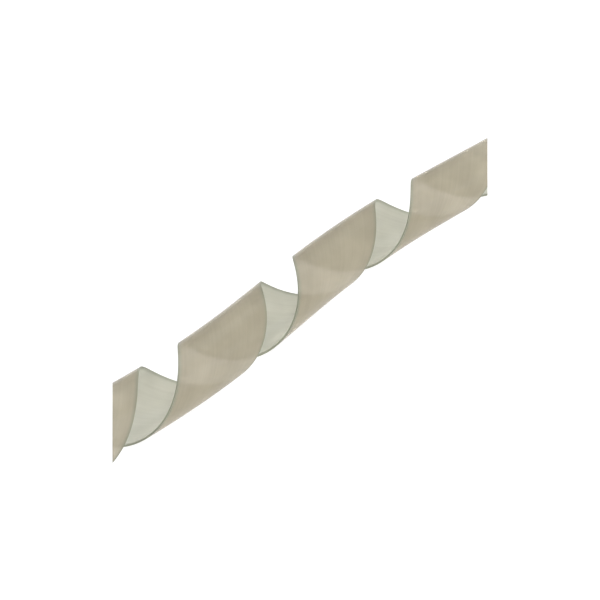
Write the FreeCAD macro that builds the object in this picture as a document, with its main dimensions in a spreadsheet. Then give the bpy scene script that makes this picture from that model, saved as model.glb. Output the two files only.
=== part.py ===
import FreeCAD, Part
import Sketcher
import math
import os
from collections import namedtuple
from FreeCAD import Placement, Rotation, Vector

# A spiral tree guard: one helical strip of thin plastic, lying on its side along X.
# The strip is built as a chain of curved sectors, with a narrow gap at each place
# where the real strip flexes. +X runs to the far end, Z is up, and angles round the
# tube start at the top and grow towards +Y.

DIMENSIONS = {
    "outer_radius": 19.05,      # in the middle of the tube
    "narrowing": 0.0071,        # what the radius loses for each millimetre towards the far end
    "wall": 1.2,
    "pitch": 116.0,             # axial length of one turn
    "band_width": 82.5,         # width of the strip, measured along the tube
    "sectors_per_turn": 8,
    "flex_gap": 1.2,            # room between neighbouring sectors, round the tube
    "start_angle": -191.5,      # where the strip's centre line crosses the middle, in degrees
    "straight_half": 24.0,      # the tube is straight this far each side of the middle
    "near_bend_radius": 629.0,
    "far_bend_radius": 706.0,
    "far_bend_end": 156.0,      # past this the far end is straight again
    "near_flare": 1.15,         # how much larger the curve's radius is in the flared sectors
    "near_cut_angle": -51.2,    # of a line square to each end's cut, in degrees from X
    "near_cut_reach": 103.74,   # from the middle of the tube to the near cut, along that line
    "far_cut_angle": -56.28,
    "far_cut_reach": 133.97,
    "cut_lean": 1.97,           # from upright, in degrees, so that both cuts face a little up
    "origin_x": -27.20,         # the middle of the straight stretch, from the part's origin
    "origin_y": 3.64,
}
SIDES = ("top_back", "back_upper", "back_lower", "bottom_back",
         "bottom_front", "front_lower", "front_upper", "top_front")
FIRST_SECTOR, LAST_SECTOR = -19, 12     # counted along the screw; sector 0 starts at the top
FIRST_TURN_START = -24                  # the sector at which turn 1 would start
CUT_SECTORS = {"near": range(-19, -11), "far": range(6, 13)}
FLARED_SECTORS = range(-19, -16)        # up to the top of the tube; the near end lies open a little there

Curve = namedtuple("Curve", "radius radius_formula half_angle half_angle_formula")

doc = FreeCAD.newDocument("spiral_tree_guard")
sheet = doc.addObject("Spreadsheet::Sheet", "sizes")
for row, (alias, number) in enumerate(DIMENSIONS.items(), start=1):
    sheet.set(f"A{row}", alias)
    sheet.set(f"B{row}", str(number))
    sheet.setAlias(f"B{row}", alias)
doc.recompute()


def size(alias):
    """One driving dimension, read from the sheet."""
    return float(sheet.get(alias))


def middle_angle(index):
    """The angle round the tube, in degrees, at the middle of the sector with this number."""
    return (index + 0.5) * 360 / size("sectors_per_turn")


def along_tube(index):
    """How far along the tube that sector's middle lies, from the middle of the tube."""
    return size("pitch") * (middle_angle(index) - size("start_angle")) / 360


def local_radius(index):
    """The tube's outer radius at that sector, as a number and as a formula for the sheet."""
    along = f"sizes.pitch * ({middle_angle(index)} - sizes.start_angle) / 360"
    return (size("outer_radius") - size("narrowing") * along_tube(index),
            f"(sizes.outer_radius - sizes.narrowing * {along})")


def sector_curve(index):
    """The outer radius of that sector's own curve and half the angle it takes up, in radians, each with
    its formula for the sheet."""
    radius, formula = local_radius(index)
    half_angle, half_formula = math.pi / size("sectors_per_turn"), "180 deg / sizes.sectors_per_turn"
    if index in FLARED_SECTORS:
        flare = size("near_flare")
        return Curve(radius * flare, f"({formula} * sizes.near_flare)",
                     half_angle / flare, f"{half_formula} / sizes.near_flare")
    return Curve(radius, formula, half_angle, half_formula)


def facing_angle(index):
    """The angle that the sector's middle faces, in degrees; the flared sectors turn through less."""
    start = FLARED_SECTORS.stop * 360 / size("sectors_per_turn")
    flare = size("near_flare") if index in FLARED_SECTORS else 1
    return start + (middle_angle(index) - start) / flare


def add_sketch(body, name, role):
    """A sketch on one of the body's own origin planes."""
    sketch = body.newObject("Sketcher::SketchObject", name)
    plane = next(f for f in body.Origin.OriginFeatures if f.Role == role)
    sketch.AttachmentSupport = [(plane, "")]
    sketch.MapMode = "FlatFace"
    return sketch


def hold(sketch, kind, *places):
    """A constraint with no dimension."""
    sketch.addConstraint(Sketcher.Constraint(kind, *places))


def bind(sketch, kind, *places, value, formula):
    """A dimension that follows the sheet; value only starts the sketch off near it."""
    index = sketch.addConstraint(Sketcher.Constraint(kind, *places, value))
    sketch.setExpression(f"Constraints[{index}]", formula)


def draw_wall(body, curve):
    """The sector's cross-section: a short arc of the tube's wall, at the top."""
    sketch = add_sketch(body, "WallSection", "YZ_Plane")
    outer, formula = curve.radius, curve.radius_formula
    inner = outer - size("wall")
    half = curve.half_angle - size("flex_gap") / outer / 2
    arcs = [Part.ArcOfCircle(Part.Circle(Vector(), Vector(0, 0, 1), radius),
                             math.pi / 2 - half, math.pi / 2 + half) for radius in (outer, inner)]
    sketch.addGeometry(arcs)
    sketch.addGeometry([Part.LineSegment(arcs[0].StartPoint, arcs[1].StartPoint),
                        Part.LineSegment(arcs[1].EndPoint, arcs[0].EndPoint)])
    hold(sketch, "Coincident", 0, 3, -1, 1)
    hold(sketch, "Coincident", 1, 3, -1, 1)
    hold(sketch, "Coincident", 0, 1, 2, 1)
    hold(sketch, "Coincident", 2, 2, 1, 1)
    hold(sketch, "Coincident", 1, 2, 3, 1)
    hold(sketch, "Coincident", 3, 2, 0, 2)
    hold(sketch, "PointOnObject", -1, 1, 2)
    hold(sketch, "Symmetric", 0, 1, 0, 2, -2)
    hold(sketch, "Symmetric", 1, 1, 1, 2, -2)
    half_angle = f"({curve.half_angle_formula} - 90 deg / pi * sizes.flex_gap / {formula})"
    bind(sketch, "Radius", 0, value=outer, formula=formula)
    bind(sketch, "Radius", 1, value=inner, formula=f"{formula} - sizes.wall")
    bind(sketch, "DistanceX", 0, 2, 0, 1, value=2 * outer * math.sin(half),
         formula=f"2 * {formula} * sin({half_angle})")
    return sketch


def draw_edges(body, curve):
    """What lies past the strip's two slanting edges, seen from above."""
    sketch = add_sketch(body, "StripEdges", "XY_Plane")
    side, formula = curve.radius / 2, curve.radius_formula
    rise = size("pitch") / size("sectors_per_turn") / 4 / math.sin(curve.half_angle)
    near, far, clear = size("band_width") / 2 - rise, size("band_width") / 2 + rise, size("band_width")
    corners = [Vector(near, -side), Vector(far, side), Vector(clear, side), Vector(clear, -side)]
    for loop in (corners, [-corner for corner in corners]):
        first = sketch.GeometryCount
        sketch.addGeometry([Part.LineSegment(loop[i], loop[(i + 1) % 4]) for i in range(4)])
        for i in range(4):
            hold(sketch, "Coincident", first + i, 2, first + (i + 1) % 4, 1)
    for line, direction in ((1, "Horizontal"), (2, "Vertical"), (3, "Horizontal")):
        hold(sketch, direction, line)
    for line in range(4):
        hold(sketch, "Symmetric", line, 1, 4 + line, 1, -1, 1)
    slope = f"sizes.pitch / sizes.sectors_per_turn / 4 / sin({curve.half_angle_formula})"
    bind(sketch, "DistanceX", -1, 1, 0, 1, value=near, formula=f"sizes.band_width / 2 - {slope}")
    bind(sketch, "DistanceX", -1, 1, 0, 2, value=far, formula=f"sizes.band_width / 2 + {slope}")
    bind(sketch, "DistanceY", 0, 1, -1, 1, value=side, formula=f"{formula} / 2")
    bind(sketch, "DistanceY", -1, 1, 0, 2, value=side, formula=f"{formula} / 2")
    bind(sketch, "DistanceX", -1, 1, 2, 1, value=clear, formula="sizes.band_width")
    return sketch


def make_sector(label, index):
    """One sector of the strip, at the top of a tube that runs along X through the origin."""
    curve = sector_curve(index)
    body = doc.addObject("PartDesign::Body", label)
    wall = body.newObject("PartDesign::Pad", "Wall")
    wall.Profile = draw_wall(body, curve)
    wall.SideType = "Symmetric"
    wall.setExpression("Length", "sizes.band_width + sizes.pitch / 2")
    trim = body.newObject("PartDesign::Pocket", "Trim")
    trim.Profile = draw_edges(body, curve)
    trim.SideType = "Symmetric"
    trim.Type = "ThroughAll"
    return body


def axis_frame(along):
    """Place on the tube's axis, seen from above, and its heading in radians, this far along it."""
    sign = math.copysign(1, along)
    radius = size("far_bend_radius") if along > 0 else size("near_bend_radius")
    past_bend = max(along - size("far_bend_end"), 0)
    turn = max(abs(along) - past_bend - size("straight_half"), 0) / radius
    straight = min(abs(along), size("straight_half"))
    place = Vector(straight + radius * math.sin(turn) + past_bend * math.cos(turn),
                   -radius * (1 - math.cos(turn)) - past_bend * math.sin(turn)) * sign
    return place + Vector(size("origin_x"), size("origin_y"), 0), -turn


def sector_placement(index):
    """Where the sector with this number sits: on the screw line, turned with the bent axis. The tube
    lies on the ground all along, so its axis is one local radius up. A flared sector's curve has its
    centre lower by as much as its radius is larger."""
    place, heading = axis_frame(along_tube(index))
    place.z = 2 * local_radius(index)[0] - sector_curve(index).radius
    heading_turn = Rotation(Vector(0, 0, 1), math.degrees(heading))
    return Placement(place, heading_turn * Rotation(Vector(1, 0, 0), -facing_angle(index)))


def make_cutter(name, angle, reach):
    """A block that fills what lies beyond one end's cut. reach is less than nothing at the near end."""
    block = doc.addObject("Part::Box", name)
    block.setExpression("Length", "sizes.pitch * 2")
    block.setExpression("Width", "sizes.pitch * 4")
    block.setExpression("Height", "sizes.outer_radius * 4")
    turn = Rotation(Vector(0, 0, 1), angle)
    middle = Vector(size("origin_x"), size("origin_y"), size("outer_radius"))
    lean = Rotation(Vector(0, 1, 0), -math.copysign(size("cut_lean"), reach))
    start = 0 if reach > 0 else -2 * size("pitch")
    corner = Vector(start, -2 * size("pitch"), -2 * size("outer_radius"))
    block.Placement = Placement(middle + turn.multVec(Vector(reach, 0, 0)) + (turn * lean).multVec(corner),
                                turn * lean)
    return block


def build_piece(index, cutters):
    """One named sector, cut where it reaches past an end of the guard."""
    label = f"turn_{(index - FIRST_TURN_START) // len(SIDES) + 1}_{SIDES[index % len(SIDES)]}"
    ends = [end for end, sectors in CUT_SECTORS.items() if index in sectors]
    body = make_sector(label + "_blank" if ends else label, index)
    body.Placement = sector_placement(index)
    if not ends:
        return body
    cut = doc.addObject("Part::Cut", label)
    cut.Base, cut.Tool = body, cutters[ends[0]]
    return cut


cutters = {"near": make_cutter("near_cutter", size("near_cut_angle"), -size("near_cut_reach")),
           "far": make_cutter("far_cutter", size("far_cut_angle"), size("far_cut_reach"))}
pieces = [build_piece(index, cutters) for index in range(FIRST_SECTOR, LAST_SECTOR + 1)]
doc.recompute()

for item in doc.Objects:
    if {"Invalid", "Error"} & set(item.State):
        raise RuntimeError(f"{item.Label} did not recompute: {item.State}")
for piece in pieces:
    if piece.Shape.isNull() or not piece.Shape.isValid() or len(piece.Shape.Solids) != 1:
        raise RuntimeError(f"{piece.Label} is not one valid solid")

os.makedirs("parts", exist_ok=True)
for piece in pieces:
    piece.Shape.exportStep(f"parts/{piece.Label}.step")

whole = Part.makeCompound([piece.Shape for piece in pieces]).optimalBoundingBox()
print(f"{len(pieces)} pieces, {sum(piece.Shape.Volume for piece in pieces):.0f} cubic millimetres")
print(f"from ({whole.XMin:.2f}, {whole.YMin:.2f}, {whole.ZMin:.2f})")
print(f"to ({whole.XMax:.2f}, {whole.YMax:.2f}, {whole.ZMax:.2f})")
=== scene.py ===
"""A spiral tree guard: one strip of satin, slightly translucent plastic, wound as an open coil.

The strip is built whole in its own coordinates (angle round the tube, distance across the
strip) and divided into short lengths, each spanning the junction of two neighbouring bodies.
"""
import math

import bmesh
import bpy
import numpy as np
from mathutils import Matrix, Vector


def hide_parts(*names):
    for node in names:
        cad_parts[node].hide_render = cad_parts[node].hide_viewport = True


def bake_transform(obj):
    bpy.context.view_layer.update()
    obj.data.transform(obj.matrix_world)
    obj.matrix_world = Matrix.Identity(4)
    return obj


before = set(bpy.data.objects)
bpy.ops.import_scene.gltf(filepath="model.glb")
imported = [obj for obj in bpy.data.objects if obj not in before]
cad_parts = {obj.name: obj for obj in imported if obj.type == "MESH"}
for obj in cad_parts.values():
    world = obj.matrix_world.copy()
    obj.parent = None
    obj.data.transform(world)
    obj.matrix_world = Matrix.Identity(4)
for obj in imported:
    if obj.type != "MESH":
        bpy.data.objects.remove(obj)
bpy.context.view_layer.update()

# The strip, in metres and degrees. Angles start at the top of the tube and grow towards +Y.
OUTER_RADIUS = 0.01905          # in the middle of the tube
NARROWING = 0.0071              # what the radius loses for each metre towards the far end
WALL = 0.0012
PITCH = 0.1160
BAND_WIDTH = 0.0825             # measured along the tube
SECTORS_PER_TURN = 8
SECTOR_ANGLE = 360 / SECTORS_PER_TURN
START_ANGLE = -191.5            # where the centre line crosses the middle of the tube
FLARE_START = -720              # at the top; past this the strip's near end lies open a little
NEAR_FLARE = 1.15               # how much larger its curve's radius is there
STRAIGHT_HALF = 0.024
NEAR_BEND_RADIUS = 0.629
FAR_BEND_RADIUS = 0.706
FAR_BEND_END = 0.156            # past this the far end is straight again
MIDDLE = Vector((-0.02720, 0.00364, OUTER_RADIUS))
END_CUTS = {"near": (-51.2, -0.10374), "far": (-56.28, 0.13397)}     # angle of the line to each cut, reach
CUT_LEAN = math.radians(1.97)   # from upright, so that both cuts face a little up
SIDES = ("top_back", "back_upper", "back_lower", "bottom_back",
         "bottom_front", "front_lower", "front_upper", "top_front")
FIRST_SECTOR, LAST_SECTOR = -19, 12
FIRST_TURN_START = -24

# How finely the strip is built.
STEPS_PER_SECTOR = 16
COLUMNS = 24
CORNER_RADIUS = 0.00028
CORNER_STEPS = 3
OUTER, INNER, EDGE = range(3)   # material slots of a length of strip

# A spot on each length's inner face is found this many degrees in from each of its ends.
BLEND_MARGIN = 4

# Painted shade along the strip's edges: the plastic is painted greyer and greener there, where the edges
# look dark.
LIE = math.atan2(PITCH, 2 * math.pi * OUTER_RADIUS)     # of the strip, from straight round the tube
STRIP_WIDTH = BAND_WIDTH * math.cos(LIE)                # straight across the strip
EDGE_SHADE_WIDTH = 0.003               # how far in that shows
EDGE_SHADE_STRENGTH = 0.6              # at the very edge
EDGE_SHADE_COLOUR = (0.41, 0.43, 0.35)


def body_name(sector):
    """The CAD body, and its one node, for a sector of the screw."""
    turn = (sector - FIRST_TURN_START) // SECTORS_PER_TURN + 1
    return f"turn_{turn}_{SIDES[sector % SECTORS_PER_TURN]}"


def axis_frame(along):
    """Places on the tube's axis and its headings, this far along it from the middle. The tube lies on
    the floor all along, so the axis comes down as the tube narrows."""
    sign = np.sign(along)
    radius = np.where(along > 0, FAR_BEND_RADIUS, NEAR_BEND_RADIUS)
    past_bend = np.maximum(along - FAR_BEND_END, 0)
    turn = np.maximum(np.abs(along) - past_bend - STRAIGHT_HALF, 0) / radius
    straight = np.minimum(np.abs(along), STRAIGHT_HALF)
    x = sign * (straight + radius * np.sin(turn) + past_bend * np.cos(turn))
    y = -sign * (radius * (1 - np.cos(turn)) + past_bend * np.sin(turn))
    return np.stack([x, y, -NARROWING * along], -1) + np.array(MIDDLE), -turn


def strip_points(angle, across, depth):
    """Points of the strip: angle in degrees, across from its centre line, depth under its outer face.
    Returns the points and the way out of the tube there. Where the strip flares, its curve is larger
    and its centre lower, so that it goes on smoothly from the top of the tube."""
    along = PITCH * (angle - START_ANGLE) / 360 + across
    centre, heading = axis_frame(along)
    flare = np.where(angle < FLARE_START, NEAR_FLARE, 1)
    curve_radius = (OUTER_RADIUS - NARROWING * along) * flare
    centre[..., 2] -= curve_radius * (1 - 1 / flare)
    theta = np.radians(FLARE_START + (angle - FLARE_START) / flare)
    outward = np.stack([-np.sin(heading) * np.sin(theta), np.cos(heading) * np.sin(theta),
                        np.cos(theta) + 0 * heading], -1)
    return centre + outward * (curve_radius - depth)[..., None], outward


def profile():
    """The strip's cross-section, half of it: (across, depth, normal across, normal outward), from one
    edge to the other over the outer face. The inner face mirrors it in depth."""
    half = BAND_WIDTH / 2
    turns = np.linspace(0, math.pi / 2, CORNER_STEPS + 1)
    corner = [(-half + CORNER_RADIUS * (1 - math.cos(t)), CORNER_RADIUS * (1 - math.sin(t)),
               -math.cos(t), math.sin(t)) for t in turns]
    inside = half - CORNER_RADIUS
    flat = [(a, 0, 0, 1) for a in np.linspace(-inside, inside, COLUMNS + 1)[1:-1]]
    return np.array(corner + flat + [(-a, d, -na, no) for a, d, na, no in reversed(corner)])


def length_surface(first, last):
    """Vertices, normals, strip coordinates and faces of the strip between two angles, open at both ends."""
    steps = round((last - first) / SECTOR_ANGLE * STEPS_PER_SECTOR)
    half = profile()
    mirrored = half[::-1] * (1, -1, 1, -1) + (0, WALL, 0, 0)
    loop = np.concatenate([half, mirrored])
    angle, index = np.meshgrid(np.linspace(first, last, steps + 1), np.arange(len(loop)), indexing="ij")
    across, depth, normal_across, normal_out = (loop[index][..., k] for k in range(4))
    points, outward = strip_points(angle, across, depth)
    step = 0.5
    forward = strip_points(angle + step, across, depth)[0] - strip_points(angle - step, across, depth)[0]
    sideways = np.cross(forward, outward)
    sideways /= np.linalg.norm(sideways, axis=-1, keepdims=True)
    normals = sideways * normal_across[..., None] + outward * normal_out[..., None]
    round_tube = np.radians(angle) * OUTER_RADIUS
    along_tube = PITCH * angle / 360 + across
    flat = np.stack([round_tube * math.cos(LIE) + along_tube * math.sin(LIE),
                     along_tube * math.cos(LIE) - round_tube * math.sin(LIE)], -1)
    return points, normals, flat


def face_slots(count):
    """The material slot of each quad round the strip's cross-section, which has this many points."""
    half = count // 2
    slots = np.full(count, EDGE)
    slots[CORNER_STEPS:half - 1 - CORNER_STEPS] = OUTER
    slots[half + CORNER_STEPS:count - 1 - CORNER_STEPS] = INNER
    return slots


def build_length(name, first, last, materials, cuts=()):
    """A length of the strip. It is open where the next length goes on, and its normals run on into that,
    so no seam shows. cuts are (point, facing) planes; what lies beyond one is taken off and the cut
    filled."""
    points, normals, flat = length_surface(first, last)
    rows, count = points.shape[:2]
    slots = face_slots(count)
    shape = bmesh.new()
    normal_layer = shape.verts.layers.float_vector.new("wall_normal")
    flat_layer = shape.verts.layers.float_vector.new("flat")
    grid = []
    for row in range(rows):
        line = []
        for k in range(count):
            vertex = shape.verts.new(points[row, k])
            vertex[normal_layer] = normals[row, k]
            vertex[flat_layer] = (*flat[row, k], 0)
            line.append(vertex)
        grid.append(line)
    for row in range(rows - 1):
        for k in range(count):
            after = (k + 1) % count
            face = shape.faces.new((grid[row][k], grid[row][after], grid[row + 1][after], grid[row + 1][k]))
            face.material_index = slots[k]
            face.smooth = True
    for point, facing in cuts:
        geometry = shape.verts[:] + shape.edges[:] + shape.faces[:]
        cut = bmesh.ops.bisect_plane(shape, geom=geometry, plane_co=point, plane_no=facing, clear_outer=True)
        rim = [item for item in cut["geom_cut"] if isinstance(item, bmesh.types.BMEdge)]
        for face in bmesh.ops.contextual_create(shape, geom=rim)["faces"]:
            face.material_index = EDGE
    bmesh.ops.recalc_face_normals(shape, faces=shape.faces)
    mesh = bpy.data.meshes.new(name)
    shape.to_mesh(mesh)
    shape.free()
    finish_mesh(mesh)
    piece = bpy.data.objects.new(name, mesh)
    bpy.context.scene.collection.objects.link(piece)
    for material in materials:
        mesh.materials.append(material)
    return piece


def finish_mesh(mesh):
    """Turns the vertex data into custom normals and a UV map of the strip laid flat, in metres."""
    wall = np.zeros(len(mesh.vertices) * 3)
    mesh.attributes["wall_normal"].data.foreach_get("vector", wall)
    wall = wall.reshape(-1, 3)
    flat = np.zeros(len(mesh.vertices) * 3)
    mesh.attributes["flat"].data.foreach_get("vector", flat)
    flat = flat.reshape(-1, 3)
    uv = mesh.uv_layers.new(name="Strip")
    loop_normals = []
    for face in mesh.polygons:
        for loop_index in face.loop_indices:
            vertex = mesh.loops[loop_index].vertex_index
            uv.data[loop_index].uv = flat[vertex, :2]
            loop_normals.append(wall[vertex] if face.use_smooth else face.normal)
    mesh.normals_split_custom_set(loop_normals)
    mesh.attributes.remove(mesh.attributes["wall_normal"])
    mesh.attributes.remove(mesh.attributes["flat"])


def end_plane(end):
    """A point on an end's cut, and the way it faces, out of the strip."""
    angle, reach = END_CUTS[end]
    direction = Vector((math.cos(math.radians(angle)), math.sin(math.radians(angle)), 0))
    outward = direction if reach > 0 else -direction
    facing = outward * math.cos(CUT_LEAN) + Vector((0, 0, math.sin(CUT_LEAN)))
    return MIDDLE + direction * reach, facing


def wall_spot(angle, along):
    """A spot on the inner face, at this angle round the tube and this far along it."""
    across = along - PITCH * (angle - START_ANGLE) / 360
    point = strip_points(np.array(float(angle)), np.array(across), np.array(WALL))[0]
    return Vector(point)


def build_strip(materials):
    """Every length of the strip. Each spans one junction, from the middle of a sector to the middle of
    the next, and hides the CAD part of the body it stands for. The first and last also take in the strip's
    ends."""
    cuts = [end_plane("near"), end_plane("far")]
    lengths = []
    for sector in range(FIRST_SECTOR, LAST_SECTOR):
        first = (sector + 0.5) * SECTOR_ANGLE
        last = first + SECTOR_ANGLE
        stands_for = [body_name(sector + 1)]
        start, end = first, last
        if sector == FIRST_SECTOR:
            start -= SECTOR_ANGLE / 2
            stands_for.append(body_name(sector))
        if sector == LAST_SECTOR - 1:
            end += SECTOR_ANGLE / 2
        piece = build_length(f"strip_length_{sector - FIRST_SECTOR + 1:02d}", start, end, materials, cuts)
        junction = (first + last) / 2
        along = PITCH * (junction - START_ANGLE) / 360
        wall_spot(first + BLEND_MARGIN, along)
        wall_spot(last - BLEND_MARGIN, along)
        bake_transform(piece)
        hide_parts(*stands_for)
        lengths.append(piece)
    return lengths


def add_node(tree, kind, **settings):
    """A shader node with these properties, such as blend_type, set."""
    node = tree.nodes.new(kind)
    for key, value in settings.items():
        setattr(node, key, value)
    return node


def strip_noise(tree, along, across, detail, low, high):
    """Noise laid on the flat strip, this many cells a metre along and across it, spread from low to high."""
    place = add_node(tree, "ShaderNodeUVMap", uv_map="Strip")
    scale = add_node(tree, "ShaderNodeMapping")
    scale.inputs["Scale"].default_value = (along, across, 1)
    noise = add_node(tree, "ShaderNodeTexNoise", noise_dimensions="2D")
    noise.inputs["Scale"].default_value = 1
    noise.inputs["Detail"].default_value = detail
    spread = add_node(tree, "ShaderNodeMapRange")
    for socket, value in (("From Min", 0.3), ("From Max", 0.7), ("To Min", low), ("To Max", high)):
        spread.inputs[socket].default_value = value
    tree.links.new(place.outputs["UV"], scale.inputs["Vector"])
    tree.links.new(scale.outputs["Vector"], noise.inputs["Vector"])
    tree.links.new(noise.outputs["Fac"], spread.inputs["Value"])
    return spread.outputs["Result"]


def joined(tree, operation, first, second):
    """A Math node's result; second may be a number or a socket."""
    node = add_node(tree, "ShaderNodeMath", operation=operation)
    tree.links.new(first, node.inputs[0])
    if isinstance(second, (int, float)):
        node.inputs[1].default_value = second
    else:
        tree.links.new(second, node.inputs[1])
    return node.outputs[0]


def painted_edge_shade_mask(tree):
    """How strongly the painted edge shade shows: most along the strip's two edges, and none a little way in.
    """
    place = add_node(tree, "ShaderNodeUVMap", uv_map="Strip")
    split = add_node(tree, "ShaderNodeSeparateXYZ")
    side = joined(tree, "ABSOLUTE", split.outputs["Y"], 0)
    rim = add_node(tree, "ShaderNodeMapRange", interpolation_type="SMOOTHSTEP")
    rim.inputs["From Min"].default_value = STRIP_WIDTH / 2 - EDGE_SHADE_WIDTH
    rim.inputs["From Max"].default_value = STRIP_WIDTH / 2
    rim.inputs["To Max"].default_value = EDGE_SHADE_STRENGTH
    tree.links.new(place.outputs["UV"], split.inputs["Vector"])
    tree.links.new(side, rim.inputs["Value"])
    return rim.outputs["Result"]


def with_painted_edge_shade(tree, colour, shade_colour, rim):
    """A colour that turns to a painted shade colour along the strip's edges."""
    node = add_node(tree, "ShaderNodeMix", data_type="RGBA")
    node.inputs[6].default_value = (*colour, 1)
    node.inputs[7].default_value = (*shade_colour, 1)
    tree.links.new(rim, node.inputs["Factor"])
    return node.outputs[2]


def shaded(tree, colour, strength):
    """A colour made lighter or darker from place to place."""
    node = add_node(tree, "ShaderNodeMix", data_type="RGBA", blend_type="MULTIPLY")
    node.inputs["Factor"].default_value = 1
    tree.links.new(colour, node.inputs[6])
    tree.links.new(strength, node.inputs[7])
    return node.outputs[2]


def added(tree, amount, share, base):
    """A socket, base, plus this share of another, amount."""
    total = joined(tree, "MULTIPLY_ADD", amount, share)
    tree.links.new(base, total.node.inputs[2])
    return total


def strip_tone(tree):
    """The plastic's own light and dark: faint lines drawn out along the strip, and clouding."""
    lines = strip_noise(tree, along=9, across=620, detail=3, low=0.975, high=1.025)
    clouds = strip_noise(tree, along=38, across=52, detail=4, low=0.95, high=1.05)
    return joined(tree, "MULTIPLY", lines, clouds)


def strip_scuffs(tree):
    """Long fine marks, up to 1 in their middles, with nothing between them."""
    return joined(tree, "MAXIMUM", strip_noise(tree, along=60, across=1500, detail=4, low=-2, high=1), 0)


def strip_relief(tree):
    """The surface's normals: lengthwise lines and a fine grain, a hundredth of a millimetre high."""
    grain = strip_noise(tree, along=700, across=900, detail=2, low=0, high=1)
    lines = strip_noise(tree, along=6, across=420, detail=3, low=0, high=1)
    bump = add_node(tree, "ShaderNodeBump")
    bump.inputs["Strength"].default_value = 0.3
    bump.inputs["Distance"].default_value = 0.000012
    tree.links.new(added(tree, grain, 0.25, lines), bump.inputs["Height"])
    return bump.outputs["Normal"]


def plastic(name, reflected, passed, passing, seen_through):
    """Satin plastic, with painted shade, greyer and greener, along the strip's edges. reflected is its
    colour to light that it sends back, passed its colour to light that it scatters through, and passing the
    share of light that it does. Of the rest, seen_through is the share that shows what lies behind."""
    material = bpy.data.materials.new(name)
    material.use_nodes = True
    tree = material.node_tree
    tree.nodes.clear()
    # rim is the mask of painted shade along the strip's edges.
    tone, scuffs, rim = strip_tone(tree), strip_scuffs(tree), painted_edge_shade_mask(tree)
    surface = add_node(tree, "ShaderNodeBsdfPrincipled")
    surface.inputs["Transmission Weight"].default_value = seen_through
    surface.inputs["IOR"].default_value = 1.25
    # Painted shade: the reflected colour turns greyer and greener along the strip's edges.
    body = with_painted_edge_shade(tree, reflected, EDGE_SHADE_COLOUR, rim)
    tree.links.new(shaded(tree, body, added(tree, scuffs, 0.02, tone)), surface.inputs["Base Color"])
    gloss = strip_noise(tree, along=90, across=130, detail=3, low=0.15, high=0.21)
    tree.links.new(added(tree, scuffs, 0.03, gloss), surface.inputs["Roughness"])
    tree.links.new(strip_relief(tree), surface.inputs["Normal"])
    through = add_node(tree, "ShaderNodeBsdfTranslucent")
    # Painted shade: the passed colour turns greyer and greener along the strip's edges too.
    passed_and_edge_shade = with_painted_edge_shade(tree, passed, EDGE_SHADE_COLOUR, rim)
    tree.links.new(shaded(tree, passed_and_edge_shade, tone), through.inputs["Color"])
    mix = add_node(tree, "ShaderNodeMixShader")
    mix.inputs["Fac"].default_value = passing
    output = add_node(tree, "ShaderNodeOutputMaterial")
    tree.links.new(surface.outputs[0], mix.inputs[1])
    tree.links.new(through.outputs[0], mix.inputs[2])
    tree.links.new(mix.outputs[0], output.inputs["Surface"])
    return material


def build_floor():
    """A wide white floor that gives light itself, like the bottom of a lightbox."""
    mesh = bpy.data.meshes.new("floor")
    reach = 6
    mesh.from_pydata([(-reach, -reach, 0), (reach, -reach, 0), (reach, reach, 0), (-reach, reach, 0)], [],
                     [(0, 1, 2, 3)])
    floor = bpy.data.objects.new("floor", mesh)
    bpy.context.scene.collection.objects.link(floor)
    material = bpy.data.materials.new("floor_white")
    material.use_nodes = True
    shader = material.node_tree.nodes["Principled BSDF"]
    shader.inputs["Base Color"].default_value = (0.3, 0.3, 0.3, 1)
    shader.inputs["Roughness"].default_value = 0.9
    shader.inputs["Specular IOR Level"].default_value = 0.1
    shader.inputs["Emission Color"].default_value = (1, 1, 1, 1)
    shader.inputs["Emission Strength"].default_value = 0.86
    mesh.materials.append(material)


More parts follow.
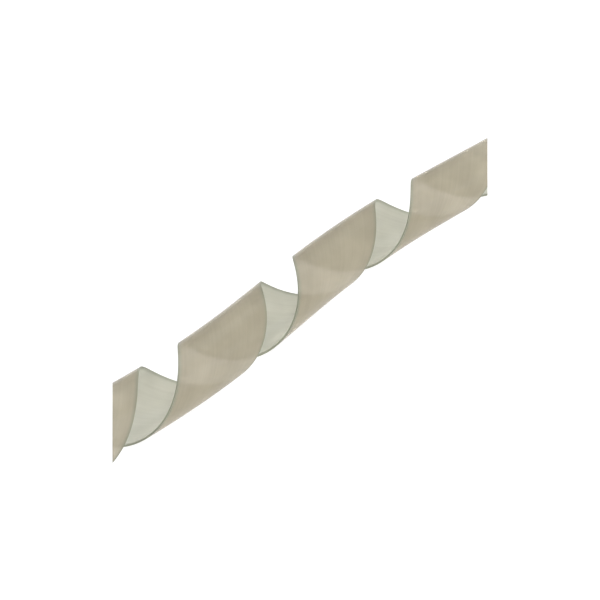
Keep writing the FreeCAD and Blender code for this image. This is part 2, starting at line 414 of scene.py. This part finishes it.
def build_camera():
    """Looks down on the guard from the near front, from far away."""
    azimuth, elevation = math.radians(-53.74), math.radians(37.80)
    distance = 2.115
    right = Vector((math.cos(azimuth), math.sin(azimuth), 0))
    forward = Vector((-math.sin(azimuth), math.cos(azimuth), 0))
    back = -forward * math.cos(elevation) + Vector((0, 0, 1)) * math.sin(elevation)
    up = back.cross(right)
    target = MIDDLE + right * 0.01513 + up * 0.00453
    camera = bpy.data.objects.new("camera", bpy.data.cameras.new("camera"))
    camera.data.lens = 200
    camera.data.sensor_width = 36
    camera.data.clip_end = 50
    camera.matrix_world = Matrix.Translation(target + back * distance) @ Matrix(
        (right, up, back)).transposed().to_4x4()
    bpy.context.scene.collection.objects.link(camera)
    bpy.context.scene.camera = camera


def add_softbox(name, azimuth, elevation, power):
    """A large round lamp, aimed at the middle of the guard."""
    across, distance = 1.5, 1.6
    azimuth, elevation = math.radians(azimuth), math.radians(elevation)
    way = Vector((math.cos(azimuth) * math.cos(elevation), math.sin(azimuth) * math.cos(elevation),
                  math.sin(elevation)))
    lamp = bpy.data.lights.new(name, "AREA")
    lamp.shape = "DISK"
    lamp.size = across
    lamp.energy = power
    softbox = bpy.data.objects.new(name, lamp)
    softbox.location = MIDDLE + way * distance
    softbox.rotation_euler = way.to_track_quat("Z", "Y").to_euler()
    softbox.visible_camera = False
    bpy.context.scene.collection.objects.link(softbox)


def build_lights():
    """Two softboxes and a pale world; the floor gives light too."""
    add_softbox("side_softbox", -81, 26, 11)
    add_softbox("overhead_softbox", 36, 70, 8.5)
    world = bpy.data.worlds.new("studio")
    world.use_nodes = True
    world.node_tree.nodes["Background"].inputs["Color"].default_value = (1, 1, 1, 1)
    world.node_tree.nodes["Background"].inputs["Strength"].default_value = 0.7
    bpy.context.scene.world = world
    bpy.context.scene.view_settings.view_transform = "Standard"


outer = plastic("guard_outer_face", (0.44, 0.383, 0.293), (0.72, 0.665, 0.57), 0.2, 0.55)
# Painted light: the inner face's colours are made far paler than the outer face's, standing for the light
# that comes through the wall behind onto it.
inner = plastic("guard_inner_face_painted_light", (0.93, 0.98, 0.92), (0.96, 0.985, 0.95), 0.2, 0.55)
edge = plastic("guard_cut_edge", (0.46, 0.47, 0.39), (0.64, 0.65, 0.56), 0.6, 0)
build_camera()
build_floor()
build_lights()
build_strip([outer, inner, edge])
